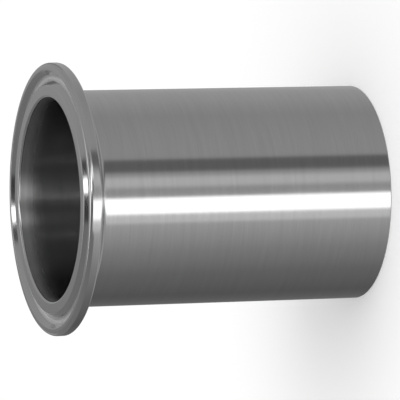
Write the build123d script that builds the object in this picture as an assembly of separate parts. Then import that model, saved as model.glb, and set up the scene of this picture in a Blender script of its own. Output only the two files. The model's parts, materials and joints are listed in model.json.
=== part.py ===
"""Long hygienic clamp ferrule: a thin tube with a grooved clamp flange turned on one end.

The ferrule is one turned piece. It stands on its weld end, with its axis on +Z and the
origin in the middle of the weld end's face. All sizes are in millimetres.
"""

from build123d import *
from math import radians, tan
import os

# Tube
TUBE_DIAMETER = 50.8        # outside, the 2 inch tube size
TUBE_WALL = 1.5
LENGTH = 76.2               # weld end to sealing face, 3 inches

# Clamp flange
FLANGE_REACH = 6.6          # how far the flange stands out from the tube, all round
RIM_THICKNESS = 2.8         # from the sealing face to the sharp back corner of the rim
CLAMP_TAPER = 20.0          # degrees between the flange's back and its face
NECK_FILLET = 1.2           # where the flange's back runs into the tube
RIM_FRONT_RADIUS = 1.0
RIM_BACK_RADIUS = 0.7

# Gasket groove in the sealing face: two straight flanks that run into a round floor
GROOVE_INSET = 3.5          # from the rim to the middle of the groove
GROOVE_WIDTH = 3.5          # between the flanks, at the sealing face
FLANK_ANGLE = 50.0          # degrees between a flank and the sealing face
GROOVE_FLOOR_RADIUS = 1.0
GROOVE_LIP_RADIUS = 0.3

# Edges
MOUTH_RADIUS = 0.5          # where the bore opens into the sealing face
WELD_EDGE_BREAK = 0.2       # chamfer on both edges of the weld end

tube_radius = TUBE_DIAMETER / 2
bore_radius = tube_radius - TUBE_WALL
flange_radius = tube_radius + FLANGE_REACH
groove_radius = flange_radius - GROOVE_INSET
rim_back = LENGTH - RIM_THICKNESS
neck = rim_back - FLANGE_REACH * tan(radians(CLAMP_TAPER))
flank_meeting = LENGTH - GROOVE_WIDTH / 2 * tan(radians(FLANK_ANGLE))


def corner_at(sketch, radius, height):
    """The section's corner nearest to a radius and a height along the axis."""
    return sketch.vertices().sort_by_distance(Vector(radius, height, 0))[0]


def wall_section():
    """Half of the ferrule cut through its axis, with sharp corners: tube, flange and bore."""
    return make_face(
        Polyline(
            (bore_radius, 0),
            (tube_radius, 0),
            (tube_radius, neck),
            (flange_radius, rim_back),
            (flange_radius, LENGTH),
            (bore_radius, LENGTH),
            close=True,
        )
    )


def ease_corners(section):
    """Gives each turned corner its radius and breaks the two edges of the weld end."""
    rounds = [
        (tube_radius, neck, NECK_FILLET),
        (flange_radius, rim_back, RIM_BACK_RADIUS),
        (flange_radius, LENGTH, RIM_FRONT_RADIUS),
        (bore_radius, LENGTH, MOUTH_RADIUS),
    ]
    for radius, height, size in rounds:
        section = fillet(corner_at(section, radius, height), size)
    for radius in (bore_radius, tube_radius):
        section = chamfer(corner_at(section, radius, 0), WELD_EDGE_BREAK)
    return section


def cut_groove(section):
    """Cuts the gasket groove into the sealing face, then rounds its floor and its two lips."""
    inner_lip = groove_radius - GROOVE_WIDTH / 2
    outer_lip = groove_radius + GROOVE_WIDTH / 2
    section -= make_face(
        Polyline((inner_lip, LENGTH), (groove_radius, flank_meeting), (outer_lip, LENGTH), close=True)
    )
    section = fillet(corner_at(section, groove_radius, flank_meeting), GROOVE_FLOOR_RADIUS)
    for lip in (inner_lip, outer_lip):
        section = fillet(corner_at(section, lip, LENGTH), GROOVE_LIP_RADIUS)
    return section


def clamp_ferrule():
    """The whole turned piece, its section carried once round the axis."""
    section = cut_groove(ease_corners(wall_section()))
    return revolve(Plane.XZ * section, Axis.Z, 360)


os.makedirs("parts", exist_ok=True)
ferrule = clamp_ferrule()
export_step(ferrule, "parts/clamp_ferrule.step")
print("clamp_ferrule", ferrule.bounding_box(), "volume", round(ferrule.volume, 1), "mm3")
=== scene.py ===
# %% [markdown]
# # A long clamp ferrule
# A clamp ferrule ends a pipe run in a dairy, a brewery or a laboratory. It is one turned piece of
# stainless steel: a thin tube, and on one end a flange with a gasket groove in its face and a
# slanting back. A hinged clamp pulls two such flanges together by their slanting backs.
#
# The lesson makes it as one surface of revolution, gives it the finishes that turning, polishing
# and boring leave, and lights it in a plain studio whose cards and lamps show in the steel. The
# packed CAD model is the frame: it gives the sizes that matter, and the new surface stands in
# for it.

import json
from math import cos, degrees, pi, radians, sin, tan

import bpy
import numpy as np
from mathutils import Matrix, Vector


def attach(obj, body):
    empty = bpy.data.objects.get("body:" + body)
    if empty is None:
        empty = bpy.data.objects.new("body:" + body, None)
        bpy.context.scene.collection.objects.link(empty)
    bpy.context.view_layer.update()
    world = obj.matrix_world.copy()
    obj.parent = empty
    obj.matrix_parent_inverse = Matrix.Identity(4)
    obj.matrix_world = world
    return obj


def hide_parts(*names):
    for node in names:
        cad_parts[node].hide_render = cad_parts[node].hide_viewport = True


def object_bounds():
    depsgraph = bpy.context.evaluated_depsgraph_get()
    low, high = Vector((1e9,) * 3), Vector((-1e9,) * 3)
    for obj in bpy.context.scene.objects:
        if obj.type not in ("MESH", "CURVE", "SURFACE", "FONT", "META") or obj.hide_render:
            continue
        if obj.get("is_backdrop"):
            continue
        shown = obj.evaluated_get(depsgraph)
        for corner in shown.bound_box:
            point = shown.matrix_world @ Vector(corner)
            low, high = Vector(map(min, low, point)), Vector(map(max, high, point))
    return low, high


MM = 0.001

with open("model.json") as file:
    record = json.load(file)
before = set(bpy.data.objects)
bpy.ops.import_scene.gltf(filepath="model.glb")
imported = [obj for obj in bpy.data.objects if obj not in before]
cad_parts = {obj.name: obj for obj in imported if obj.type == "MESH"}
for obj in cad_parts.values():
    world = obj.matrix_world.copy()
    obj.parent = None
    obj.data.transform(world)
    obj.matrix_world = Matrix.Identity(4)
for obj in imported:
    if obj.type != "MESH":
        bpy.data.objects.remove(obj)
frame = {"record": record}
cad_low, cad_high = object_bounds()
print("CAD box, millimetres:", [round(side / MM, 2) for side in cad_high - cad_low])

# %% [markdown]
# ## Sizes
# The tube, the bore, the rim and the groove have measured places in the packed record, so they
# are read from there, and this surface can't drift from the CAD model. The rounds, the taper and
# the groove's width have no place in the record. They are named here once, in metres, and
# everything below follows from them.

# %% Sizes from the packed record
mounts = {mount["name"]: mount for mount in frame["record"]["mounts"]}
length = cad_high.z - cad_low.z
tube_radius = mounts["tube_outside"]["dims"]["r_mm"] * MM
bore_radius = mounts["bore"]["dims"]["r_mm"] * MM
flange_radius = mounts["flange_rim"]["dims"]["r_mm"] * MM
groove_radius, _, groove_floor = mounts["gasket_groove"]["pos_m"]
print(f"tube {2 * tube_radius / MM:.1f} mm, bore {2 * bore_radius / MM:.1f} mm")
print(f"flange {2 * flange_radius / MM:.1f} mm, length {length / MM:.1f} mm")

# %% Sizes that the record doesn't hold
rim_thickness = 2.8 * MM
taper = radians(20)
neck_fillet = 1.2 * MM
rim_front_round = 1.0 * MM
rim_back_round = 0.7 * MM
groove_width = 3.5 * MM
flank_angle = radians(50)
groove_floor_round = 1.0 * MM
groove_lip = 0.3 * MM
mouth_round = 0.5 * MM
weld_edge_break = 0.2 * MM
groove_depth = length - groove_floor
print(f"groove {groove_width / MM:.1f} mm wide and {groove_depth / MM:.2f} mm deep")

# %% [markdown]
# ## The section
# A turner thinks in a section: half of the piece, cut through its axis. It could be drawn as one
# long list of points, but then no number in it would mean anything. Here it is a list of rounds,
# each a part of a circle. The straight runs need no list of their own, because each goes from the
# end of one round to the start of the next. A sharp corner is a round of no radius.
#
# Smooth shading blends the slope between neighbouring points, so a small round would bend the
# reflections on the long tube next to it. Each straight run therefore has an extra point close to
# each of its ends.

# %% Straight runs and arcs
RUN_STEP = 3 * MM
END_POINT = 0.03 * MM
ARC_STEP = 6.0


def run(start, stop):
    """Points start + t (stop - start), about a run step apart, and one more close to each end."""
    distance = np.linalg.norm(stop - start)
    inner = np.linspace(0, distance, max(2, round(distance / RUN_STEP) + 1))[1:-1]
    along = np.concatenate([[END_POINT], inner, [distance - END_POINT]])
    return start + (along / distance)[:, None] * (stop - start)


def arc(centre, radius, first, last):
    """Points centre + radius (cos a, sin a), as a goes from first to last in degrees."""
    count = 1 if radius == 0 else 2 + round(abs(last - first) / ARC_STEP)
    angle = np.radians(np.linspace(first, last, count))
    return np.array(centre) + radius * np.stack([np.cos(angle), np.sin(angle)], axis=1)


print("a quarter round has", len(arc((0, 0), MM, 0, 90)), "points")

# %% [markdown]
# ## Where the rounds lie
# The section goes round in one sense: up the outside of the tube, out along the slanting back,
# over the rim, in across the sealing face and through the groove, and down the bore. A round of
# radius R between two runs that turn by an angle T touches them R tan(T/2) from their corner.
# The groove has two straight flanks that run into a round floor, which takes the bead of a
# gasket, and each flank meets the face in a small rounded lip.

# %% Centres of the rounds
slope = degrees(taper)
flank = degrees(flank_angle)
back_corner = length - rim_thickness
neck_corner = back_corner - (flange_radius - tube_radius) * tan(taper)
neck_height = neck_corner - neck_fillet * tan((pi / 2 - taper) / 2)
back_height = back_corner + rim_back_round * tan((pi / 2 - taper) / 2)
back_radius = flange_radius - rim_back_round
front_height = length - rim_front_round
front_radius = flange_radius - rim_front_round
lip_reach = groove_width / 2 + groove_lip * tan(flank_angle / 2)
lip_height = length - groove_lip
floor_height = groove_floor + groove_floor_round
print(f"taper runs from {neck_corner / MM:.2f} to {back_corner / MM:.2f} mm above the weld end")

# %% The rounds in order
POLISHED, TURNED, BORED, MATT = range(4)
# name, radius from the axis, height, own radius, first and last angle, finish of the next run
rounds = [
    ("outer weld edge", tube_radius, weld_edge_break, 0, 0, 0, POLISHED),
    ("neck", tube_radius + neck_fillet, neck_height, neck_fillet, 180, 90 + slope, TURNED),
    ("rim back", back_radius, back_height, rim_back_round, slope - 90, 0, TURNED),
    ("rim front", front_radius, front_height, rim_front_round, 0, 90, TURNED),
    ("outer lip", groove_radius + lip_reach, lip_height, groove_lip, 90, 90 + flank, TURNED),
    ("groove floor", groove_radius, floor_height, groove_floor_round, flank - 90, -90 - flank, TURNED),
    ("inner lip", groove_radius - lip_reach, lip_height, groove_lip, 90 - flank, 90, TURNED),
    ("mouth", bore_radius + mouth_round, length - mouth_round, mouth_round, 90, 180, BORED),
    ("bore edge", bore_radius, weld_edge_break, 0, 0, 0, TURNED),
    ("inner weld edge", bore_radius + weld_edge_break, 0, 0, 0, 0, TURNED),
    ("weld face edge", tube_radius - weld_edge_break, 0, 0, 0, 0, TURNED),
]
arcs = [arc(entry[1:3], *entry[3:6]) for entry in rounds]
runs = [run(one[-1], after[0]) for one, after in zip(arcs, arcs[1:] + arcs[:1])]
print(len(arcs), "rounds and", len(runs), "straight runs")

# %% The closed section
stretches = []
for (name, *_, next_finish), arc_points, run_points in zip(rounds, arcs, runs):
    stretches.append((arc_points, MATT if name == "groove floor" else TURNED))
    stretches.append((run_points, next_finish))
section = np.concatenate([points for points, _ in stretches])
finish = np.concatenate([np.full(len(points), kind) for points, kind in stretches])
print(len(section), "points in the section")

# %% [markdown]
# ## The surface
# The piece is turned, so its surface is the section carried once round the axis. Blender's Screw
# modifier could do that, but whole arrays give the same grid with every point's place known, and
# the map for the finish comes from the same numbers. A point is (r cos p, r sin p, z), where p is
# the angle round the axis and (r, z) comes from the section. The grid closes both ways, with the
# last column next to the first and the last row next to the first, so no seam or pole is left.

# %% Carry the section round the axis
ROUND_STEPS = 480


def revolved(section, steps):
    """Grid of points (r cos p, r sin p, z): each (r, z) of the section, turned through p."""
    angle = np.linspace(0, 2 * pi, steps, endpoint=False)[:, None]
    radius, height = section[:, 0][None, :], section[:, 1][None, :]
    return np.stack([radius * np.cos(angle), radius * np.sin(angle), height + 0 * angle], axis=2)


def ring_faces(columns, rows):
    """Corners (c, r), (c + 1, r), (c + 1, r + 1), (c, r + 1) of each patch: it faces outwards."""
    column, row = np.meshgrid(np.arange(columns), np.arange(rows), indexing="ij")
    next_column, next_row = (column + 1) % columns, (row + 1) % rows
    corners = [(column, row), (next_column, row), (next_column, next_row), (column, next_row)]
    return np.stack([c * rows + r for c, r in corners], axis=2).reshape(-1, 4)


grid = revolved(section, ROUND_STEPS)
faces = ring_faces(ROUND_STEPS, len(section))
print(len(faces), "patches in", ROUND_STEPS, "columns")

# %% [markdown]
# ## A map for the marks of turning
# The marks of a lathe follow two directions: round the axis, and across the lines, along the
# section. The surface carries a map of exactly those two, which is simpler than unwrapping it.
# One coordinate is the share of a turn, and the other is the share of the section's length.

# %% Map of the turn against the section's length
section_steps = np.linalg.norm(np.roll(section, -1, axis=0) - section, axis=1)
section_length = section_steps.sum()
along_section = np.concatenate([[0], np.cumsum(section_steps)]) / section_length


def corner_map(columns, rows):
    """For each patch corner: c / columns, and the share of the section's length up to row r."""
    column, row = np.meshgrid(np.arange(columns), np.arange(rows), indexing="ij")
    across = np.stack([column, column + 1, column + 1, column], axis=2) / columns
    along = along_section[np.stack([row, row, row + 1, row + 1], axis=2)]
    return np.stack([across, along], axis=3).reshape(-1, 2)


turning_map = corner_map(ROUND_STEPS, len(section))
print("section length", round(section_length / MM, 2), "mm")

# %% Put the surface into a mesh
mesh = bpy.data.meshes.new("turned_ferrule")
mesh.from_pydata(grid.reshape(-1, 3), [], faces)
mesh.polygons.foreach_set("use_smooth", np.ones(len(faces), bool))
layer = mesh.uv_layers.new(name="turning")
layer.data.foreach_set("uv", turning_map.astype(np.float32).ravel())
for name, kind in (("turned", TURNED), ("matt", MATT)):
    share = mesh.attributes.new(name, "FLOAT", "POINT")
    share.data.foreach_set("value", np.tile(finish == kind, ROUND_STEPS).astype(np.float32))
mesh.update()
ferrule = bpy.data.objects.new("clamp_ferrule_turned", mesh)
bpy.context.scene.collection.objects.link(ferrule)
print(len(mesh.vertices), "points and", len(mesh.polygons), "patches in", ferrule.name)

# %% [markdown]
# ## Nodes by short calls
# A finish is a sum of a few dozen terms, and so is the room that the steel mirrors. Written out
# node by node, the sum would be lost among the links. The class below adds a node, wires it and
# gives its output back, so each line of a finish reads as one step of the reckoning.


# %% A tree of nodes with short calls
class Wiring:
    """The nodes of one material or world."""

    def __init__(self, owner):
        """Turns the owner's nodes on and keeps them at hand."""
        owner.use_nodes = True
        self.nodes = owner.node_tree.nodes
        self.links = owner.node_tree.links

    def join(self, node, socket, value):
        """Links an output to a node's socket, or sets the socket to a plain value."""
        if isinstance(value, bpy.types.NodeSocket):
            self.links.new(value, node.inputs[socket])
        else:
            node.inputs[socket].default_value = value

    def add(self, kind, **inputs):
        """A new node. An input's name is its socket's, with _ for a space."""
        node = self.nodes.new(kind)
        for name, value in inputs.items():
            self.join(node, name.replace("_", " "), value)
        return node

    def reckon(self, operation, *terms):
        """The result of a Math node: the operation done on the terms in their order."""
        node = self.nodes.new("ShaderNodeMath")
        node.operation = operation
        for place, term in enumerate(terms):
            self.join(node, place, term)
        return node.outputs[0]

    def blend(self, share, first, second, low=0.0, high=1.0):
        """first where the share is low, second where it is high, in a straight line between."""
        limits = {"From_Min": low, "From_Max": high, "To_Min": first, "To_Max": second}
        return self.add("ShaderNodeMapRange", Value=share, **limits).outputs[0]

    def edge(self, value, start, stop):
        """0 before start and 1 past stop, with a smooth step between."""
        node = self.add("ShaderNodeMapRange", Value=value, From_Min=start, From_Max=stop)
        node.interpolation_type = "SMOOTHSTEP"
        return node.outputs[0]


print("short calls:", [name for name in vars(Wiring) if not name.startswith("_")])

# %% [markdown]
# ## The steel
# Polished stainless is a mirror with a grain. The lathe and the polishing belt leave fine lines
# that run round the axis, a little uneven along their length, and a faint haze where the belt
# pressed harder. Three finishes meet on this piece:
#
# - The outside is polished.
# - The floor of the groove is cut by a form tool and not polished, so it is matt. Its colour is also
#   painted lighter, which paints in the glow of the room that its rough floor scatters.
# - The belt doesn't reach the bore. Its lines spread a reflection across themselves, which is
#   along the axis, and gaskets and brushes roughen the last stretch before the mouth. Its colour
#   is also painted darker: painted shade for the deep bore.
#
# A drawn image could hold all this, but it would have a seam and one fixed sharpness. Noise has
# neither. It is squeezed across the lines and stretched along them. The surface's own map gives
# the place across the lines, and the object's own place gives the slow change round the axis, so
# that the noise meets itself after a turn.


# %% Lines of turning
def turned_lines(wiring, pitch, stretch, detail):
    """Noise at (x / stretch, y / stretch, distance along the section / pitch)."""
    turning = wiring.nodes.new("ShaderNodeUVMap")
    turning.uv_map = "turning"
    share = wiring.add("ShaderNodeSeparateXYZ", Vector=turning.outputs[0]).outputs[1]
    coordinates = wiring.nodes.new("ShaderNodeTexCoord")
    place = wiring.add("ShaderNodeSeparateXYZ", Vector=coordinates.outputs["Object"])
    where = wiring.add(
        "ShaderNodeCombineXYZ",
        X=wiring.reckon("DIVIDE", place.outputs[0], stretch),
        Y=wiring.reckon("DIVIDE", place.outputs[1], stretch),
        Z=wiring.reckon("MULTIPLY", share, section_length / pitch),
    )
    noise = wiring.add("ShaderNodeTexNoise", Vector=where.outputs[0], Scale=1.0, Detail=detail)
    return noise.outputs["Fac"]


FINE_LINES = {"pitch": 0.22 * MM, "stretch": 9 * MM, "detail": 3.0}
BROAD_LINES = {"pitch": 1.6 * MM, "stretch": 22 * MM, "detail": 1.0}
print(round(section_length / FINE_LINES["pitch"]), "fine lines along the whole section")

# %% Tone
FINE_TONE = 0.6
# painted light: the colour of the matt groove floor is lifted by this much, for the glow of the room
# that it scatters
MATT_PAINTED_LIGHT = 0.20
# most of the noise lies between these two
NOISE_LOW, NOISE_HIGH = 0.3, 0.7


def steel_tone(wiring, fine, broad, matt, dark, light):
    """dark to light with 0.6 of the fine lines and 0.4 of the broad ones, and painted lighter if matt.
    """
    fine_part = wiring.reckon("MULTIPLY", fine, FINE_TONE)
    broad_part = wiring.reckon("MULTIPLY", broad, 1 - FINE_TONE)
    lines = wiring.reckon("ADD", fine_part, broad_part)
    tone = wiring.blend(lines, dark, light, NOISE_LOW, NOISE_HIGH)
    # painted light: the matt groove floor gets a lighter colour, standing in for the light it scatters
    tone = wiring.reckon("MULTIPLY_ADD", matt, MATT_PAINTED_LIGHT, tone)
    return wiring.add("ShaderNodeCombineXYZ", X=tone, Y=tone, Z=tone).outputs[0]


print("the fine lines carry", FINE_TONE, "of the change in tone")

# %% Gloss
# patches of haze about 14 mm across
HAZE = {"Scale": 70.0, "Detail": 3.0}
HAZE_BLUR = 0.05
LINE_BLUR = 0.06
TURNED_BLUR = 0.03
MATT_BLUR = 0.38
MOUTH_WEAR = 8 * MM


def steel_roughness(wiring, place, fine, turned, matt, least, at_mouth):
    """least + haze + fine lines + turned + matt, and at_mouth times the square of a smooth step."""
    haze = wiring.add("ShaderNodeTexNoise", Vector=place, **HAZE).outputs["Fac"]
    height = wiring.add("ShaderNodeSeparateXYZ", Vector=place).outputs[2]
    wear = wiring.reckon("POWER", wiring.edge(height, length - MOUTH_WEAR, length), 2.0)
    roughness = wiring.reckon("MULTIPLY_ADD", haze, HAZE_BLUR, least)
    roughness = wiring.reckon("MULTIPLY_ADD", fine, LINE_BLUR, roughness)
    roughness = wiring.reckon("MULTIPLY_ADD", turned, TURNED_BLUR, roughness)
    roughness = wiring.reckon("MULTIPLY_ADD", matt, MATT_BLUR, roughness)
    return wiring.reckon("MULTIPLY_ADD", wear, at_mouth, roughness)


print("wear starts", round(MOUTH_WEAR / MM, 1), "mm before the mouth")

# %% Grain
GRAIN_HEIGHT = 0.004 * MM
GRAIN_STRENGTH = 0.15
BROAD_HEIGHT = 0.5
TURNED_DEEPER = 0.5


def steel_grain(wiring, fine, broad, turned):
    """Bump of height (fine + 0.5 broad) x (1 + 0.5 turned), in units of the grain's height."""
    lines = wiring.reckon("MULTIPLY_ADD", broad, BROAD_HEIGHT, fine)
    depth = wiring.reckon("MULTIPLY_ADD", turned, TURNED_DEEPER, 1.0)
    height = wiring.reckon("MULTIPLY", lines, depth)
    size = {"Strength": GRAIN_STRENGTH, "Distance": GRAIN_HEIGHT}
    return wiring.add("ShaderNodeBump", Height=height, **size).outputs[0]


print("the grain is", round(1000 * GRAIN_HEIGHT / MM, 1), "micrometres high")

# %% A finish from tone, gloss and grain
ACROSS_LINES = 0.25


def share_of(wiring, name):
    """The share, 0 or 1 at each point, that the mesh carries under that name."""
    attribute = wiring.nodes.new("ShaderNodeAttribute")
    attribute.attribute_name = name
    return attribute.outputs["Fac"]


def steel_finish(name, dark, light, least, at_mouth, spread):
    """Steel with tones dark to light, least roughness, more at_mouth, spread across its lines."""
    steel = bpy.data.materials.new(name)
    wiring = Wiring(steel)
    shader = wiring.nodes["Principled BSDF"]
    fine, broad = turned_lines(wiring, **FINE_LINES), turned_lines(wiring, **BROAD_LINES)
    turned, matt = share_of(wiring, "turned"), share_of(wiring, "matt")
    place = wiring.nodes.new("ShaderNodeTexCoord").outputs["Object"]
    roughness = steel_roughness(wiring, place, fine, turned, matt, least, at_mouth)
    round_axis = wiring.nodes.new("ShaderNodeTangent")
    round_axis.direction_type = "UV_MAP"
    round_axis.uv_map = "turning"
    wiring.join(shader, "Base Color", steel_tone(wiring, fine, broad, matt, dark, light))
    wiring.join(shader, "Roughness", roughness)
    wiring.join(shader, "Normal", steel_grain(wiring, fine, broad, turned))
    wiring.join(shader, "Tangent", round_axis.outputs[0])
    wiring.join(shader, "Metallic", 1.0)
    wiring.join(shader, "Anisotropic", spread)
    wiring.join(shader, "Anisotropic Rotation", ACROSS_LINES)
    print(name, "has", len(wiring.nodes), "nodes")
    return steel


polished = {"dark": 0.575, "light": 0.63, "least": 0.06, "at_mouth": 0.0, "spread": 0.0}
# the bored tones are darker than the polished ones: painted shade that deepens the dark inside the
# bore
bored = {"dark": 0.47, "light": 0.55, "least": 0.12, "at_mouth": 0.25, "spread": 0.95}
mesh.materials.append(steel_finish("polished_turned_stainless", **polished))
mesh.materials.append(steel_finish("bored_stainless", **bored))

# %% [markdown]
# ## In the place of the CAD mesh
# The packed CAD mesh is made of flat facets, and a mirror finish would show every one. So the
# smooth surface stands for it in each picture, and the CAD mesh stays for collisions. Nothing on
# a ferrule moves, so it rides on the one body that there is. The bore is a second material on
# the same mesh, and not a piece of its own, because it is the same metal.

# %% Put the finishes on the ferrule and join it to the frame
in_bore = np.tile(finish == BORED, ROUND_STEPS)
mesh.polygons.foreach_set("material_index", in_bore.astype(np.int32))
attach(ferrule, "root")
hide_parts("clamp_ferrule")
print(int(in_bore.sum()), "patches have the bored finish")

# %% [markdown]
# ## The floor
# The ferrule stands on its weld end on a plain pale floor. A curved sweep of paper would do, and
# so does a plane, because the room behind it is white too: a little glow, only for what the
# camera sees directly, brings the floor up to that white, and the soft shadow stays. The steel
# doesn't mirror the floor. Seen from a little above, the side of an upright tube would mirror
# nothing else, and no card could show in it.

# %% Floor
FLOOR_HALF = 12.0

square = np.array([(-1, -1, 0), (1, -1, 0), (1, 1, 0), (-1, 1, 0)])
floor_mesh = bpy.data.meshes.new("pale_floor")
floor_mesh.from_pydata(FLOOR_HALF * square + [0, 0, cad_low.z], [], [(0, 1, 2, 3)])
floor = bpy.data.objects.new("pale_floor", floor_mesh)
bpy.context.scene.collection.objects.link(floor)
floor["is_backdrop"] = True
floor.visible_glossy = False
print("floor", 2 * FLOOR_HALF, "m wide at height", round(cad_low.z, 4))

# %% Paint of the floor
FLOOR_GREY = 0.9
CAMERA_GLOW = 0.13
WHITE = (1, 1, 1, 1)

paint = bpy.data.materials.new("pale_floor_paint")
painting = Wiring(paint)
seen_directly = painting.nodes.new("ShaderNodeLightPath").outputs["Is Camera Ray"]
glow = painting.reckon("MULTIPLY", seen_directly, CAMERA_GLOW)
paint_shader = painting.nodes["Principled BSDF"]
painting.join(paint_shader, "Base Color", (FLOOR_GREY, FLOOR_GREY, FLOOR_GREY, 1))
painting.join(paint_shader, "Roughness", 1.0)
painting.join(paint_shader, "Specular IOR Level", 0.0)
painting.join(paint_shader, "Emission Color", WHITE)
painting.join(paint_shader, "Emission Strength", glow)
floor_mesh.materials.append(paint)
print("the floor's paint has", len(painting.nodes), "nodes")

# %% [markdown]
# ## The studio
# Polished steel has little colour of its own. What it shows is the room, so the room is half of
# the finish. Glowing planes round the piece could make real cards and lamps. Here the world does
# it: the direction of a ray is turned into degrees round the room and degrees up, and each card
# is a patch between four of those, with soft edges. One short table then holds all the cards.
#
# Azimuth 0 is the side of the camera, 90 is to the right of someone who looks from there at the
# upright tube, and 180 is behind the tube.

# %% Directions in the room
world = bpy.data.worlds.new("studio")
bpy.context.scene.world = world
studio = Wiring(world)
studio.nodes.clear()

ray_direction = studio.nodes.new("ShaderNodeTexCoord").outputs["Generated"]
east, north, up = studio.add("ShaderNodeSeparateXYZ", Vector=ray_direction).outputs
south = studio.reckon("MULTIPLY", north, -1.0)
elevation = studio.reckon("MULTIPLY", studio.reckon("ARCSINE", up), degrees(1))
azimuth = studio.reckon("MULTIPLY", studio.reckon("ARCTAN2", east, south), degrees(1))
print("azimuth and elevation take", len(studio.nodes), "nodes")

# %% [markdown]
# ## The walls and the table
# The side of the tube mirrors one narrow belt of the room, about 20 degrees below the level,
# because it is seen from 20 degrees above. That belt is the table round the ferrule, and its
# greys give the tube its slow change from one side to the other. The sealing face mirrors the
# walls behind. A ray into the bore bounces down it a few times before it meets the table, and
# loses light each time, so the bore is darker.

# %% Greys of the room
WEST_WALL, EAST_WALL = 0.22, 0.37
NEAR_TABLE = 0.42

# azimuth in degrees, and grey of the table there; both ends are behind, so their greys are equal
table_greys = [
    (-180, 0.29), (-164, 0.16), (-130, 0.127), (-90, 0.19), (-60, 0.30), (-30, 0.48),
    (0, 0.40), (60, 0.37), (95, 0.345), (125, 0.41), (164, 0.42), (180, 0.29),
]
table = studio.nodes.new("ShaderNodeValToRGB")
studio.join(table, 0, studio.reckon("MULTIPLY_ADD", azimuth, 1 / 360, 0.5))
stops = table.color_ramp.elements
for side, grey in table_greys[1:-1]:
    stops.new(side / 360 + 0.5)
for stop, (side, grey) in zip(stops, table_greys):
    stop.position = side / 360 + 0.5
    stop.color = (grey, grey, grey, 1)

# the two walls meet in the middle; the table ends at them; close to the ferrule it is one grey
walls = studio.blend(studio.edge(east, -0.06, 0.05), WEST_WALL, EAST_WALL)
shade = studio.blend(studio.edge(elevation, -14, -3), table.outputs[0], walls)
shade = studio.blend(studio.edge(elevation, -35, -50), shade, NEAR_TABLE)
print(len(stops), "greys round the table")

# %% [markdown]
# ## The cards
# The long bright line on the tube is a strip light, and the dark line beside it is a black flag:
# a bright and a dark edge side by side are what makes a tube look round and polished. The cards
# high up show only in the rounds of the rim and in the groove, as short glints. A card covers
# those that stand before it in the list.

# %% Cards in the room
# name, from and to in azimuth, lowest and highest elevation, grey (a lamp has more than 1),
# softness of the edges
cards = [
    ("skirting behind", 135, 225, -9, 3, 0.23, 3),
    ("pale wall behind", 158, 202, 2, 12, 0.40, 4),
    ("halo of the strip light", -28, -12, -90, 45, 0.74, 4),
    ("strip light", -18, -1, -90, 30, 1.9, 3),
    ("foot of the soft box", 10, 21, -90, -8, 0.64, 6),
    ("dark flag", 26, 40, -90, -6, 0.155, 5),
    ("gap between the lights", 2, 17, -6, 48, 0.28, 4),
    ("side of the soft box", 16, 28, -8, 45, 1.3, 4),
    ("top of the soft box", 9, 29, 48, 75, 3.0, 2),
    ("top of the dark flag", 32, 54, 48, 75, 0.05, 2),
    ("dark canopy over the camera", -34, 7, 48, 75, 0.05, 2),
    ("lamp over the table", 166, 194, 42, 86, 1.4, 5),
]


def band(value, low, high, soft):
    """Edge up at low times edge down at high: 1 between them, with edges as wide as soft."""
    rise = studio.edge(value, low - soft / 2, low + soft / 2)
    fall = studio.edge(value, high + soft / 2, high - soft / 2)
    return studio.reckon("MULTIPLY", rise, fall)


# azimuth from 0 to 360, for the cards that lie across the back of the room
west = studio.reckon("LESS_THAN", azimuth, 0.0)
behind = studio.reckon("ADD", azimuth, studio.reckon("MULTIPLY", west, 360.0))
for name, low, high, bottom, top, grey, soft in cards:
    across = band(behind if high > 180 else azimuth, low, high, soft)
    covered = studio.reckon("MULTIPLY", across, band(elevation, bottom, top, soft))
    shade = studio.blend(covered, shade, grey)
    print(f"{name}: {high - low} by {top - bottom} degrees, grey {grey}")

# %% [markdown]
# ## Which rays see which room
# The camera sees a plain white background, of strength 1. The steel's mirrored rays see the grey
# room with its cards, because a mirror in an all-white room is a white shape without form. All
# other rays see an even soft white, which lights the floor round the shadow.

# %% Rooms for the camera, the mirror and the soft light
BACKGROUND_STRENGTH = 1.0
MIRRORED_STRENGTH = 1.0
SOFT_STRENGTH = 0.8


def room(colour, strength):
    """A background of that colour and strength."""
    return studio.add("ShaderNodeBackground", Color=colour, Strength=strength).outputs[0]


def choice(share, first, second):
    """first where the share is 0 and second where it is 1."""
    node = studio.nodes.new("ShaderNodeMixShader")
    for place, value in enumerate((share, first, second)):
        studio.join(node, place, value)
    return node.outputs[0]


ray = studio.nodes.new("ShaderNodeLightPath").outputs
direct = studio.reckon("MAXIMUM", ray["Is Camera Ray"], ray["Is Transmission Ray"])
soft_light, mirrored = room(WHITE, SOFT_STRENGTH), room(shade, MIRRORED_STRENGTH)
indirect = choice(ray["Is Glossy Ray"], soft_light, mirrored)
seen = choice(direct, indirect, room(WHITE, BACKGROUND_STRENGTH))
studio.add("ShaderNodeOutputWorld", Surface=seen)
print("the studio has", len(studio.nodes), "nodes")

# %% [markdown]
# ## The lamp
# One large soft lamp hangs over the table, before and to the right of the ferrule. The world
# alone would light the floor evenly from all sides. The lamp gives the shadow a side, and its
# wide disk keeps it soft. The steel doesn't mirror it, because the cards are its lamps.

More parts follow.
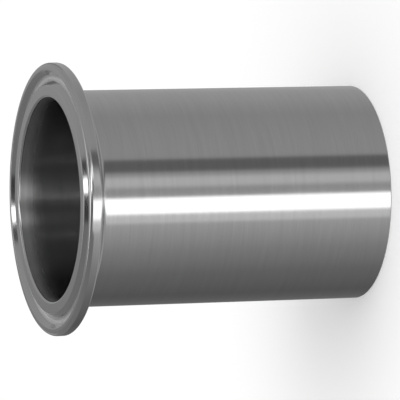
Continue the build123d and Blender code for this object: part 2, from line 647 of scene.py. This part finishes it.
# %% Overhead soft lamp
LAMP_PLACE = Vector((0.5, -0.5, 1.6))
LAMP_AIM = Vector((0, 0, 0.04))
LAMP_WIDTH = 1.2
LAMP_WATTS = 8.0

lamp = bpy.data.lights.new("overhead_soft_box", "AREA")
lamp.shape = "DISK"
lamp.size = LAMP_WIDTH
lamp.energy = LAMP_WATTS
overhead = bpy.data.objects.new("overhead_soft_box", lamp)
overhead.location = LAMP_PLACE
overhead.rotation_euler = (LAMP_AIM - LAMP_PLACE).to_track_quat("-Z", "Y").to_euler()
overhead.visible_glossy = False
bpy.context.scene.collection.objects.link(overhead)
print("lamp", round((LAMP_AIM - LAMP_PLACE).length, 2), "m from the ferrule")

# %% [markdown]
# ## The camera
# The ferrule is shown on its side, with the flange towards the viewer. It stands upright in this
# frame, so the camera is rolled by a little more than a quarter turn instead, and looks down at
# the flange from about 20 degrees above the level. It stands a metre away with a long lens, and
# not close with a short one: the tube then narrows only a little towards its far end.

# %% Camera
VIEW_HEIGHT = 19.45
VIEW_DISTANCE = 1.0226
SIDEWAYS_ROLL = -91.47
AIM = Vector((-1.02 * MM, 0, 38.65 * MM))
LENS = 388.85
SENSOR_WIDTH = 36.0

camera_data = bpy.data.cameras.new("camera")
camera_data.lens = LENS
camera_data.sensor_width = SENSOR_WIDTH
camera = bpy.data.objects.new("camera", camera_data)
height_angle = radians(VIEW_HEIGHT)
from_aim = VIEW_DISTANCE * Vector((0, -cos(height_angle), sin(height_angle)))
tilt = Matrix.Rotation(pi / 2 - height_angle, 4, "X")
roll = Matrix.Rotation(radians(SIDEWAYS_ROLL), 4, "Z")
camera.matrix_world = Matrix.Translation(AIM + from_aim) @ tilt @ roll
bpy.context.scene.collection.objects.link(camera)
bpy.context.scene.camera = camera
bpy.context.scene.view_settings.view_transform = "Standard"
print("camera at", [round(side, 3) for side in AIM + from_aim], "with a lens of", LENS, "mm")

# %% [markdown]
# ## The size of the finished model
# Looks must not change the size. The box from before the surface was made is printed at the start, and
# the box of the finished model is printed here, so that the two can be read against each other.

# %% Box of the finished model
low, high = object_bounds()
print("visual box, millimetres:", [round(side / MM, 2) for side in high - low])
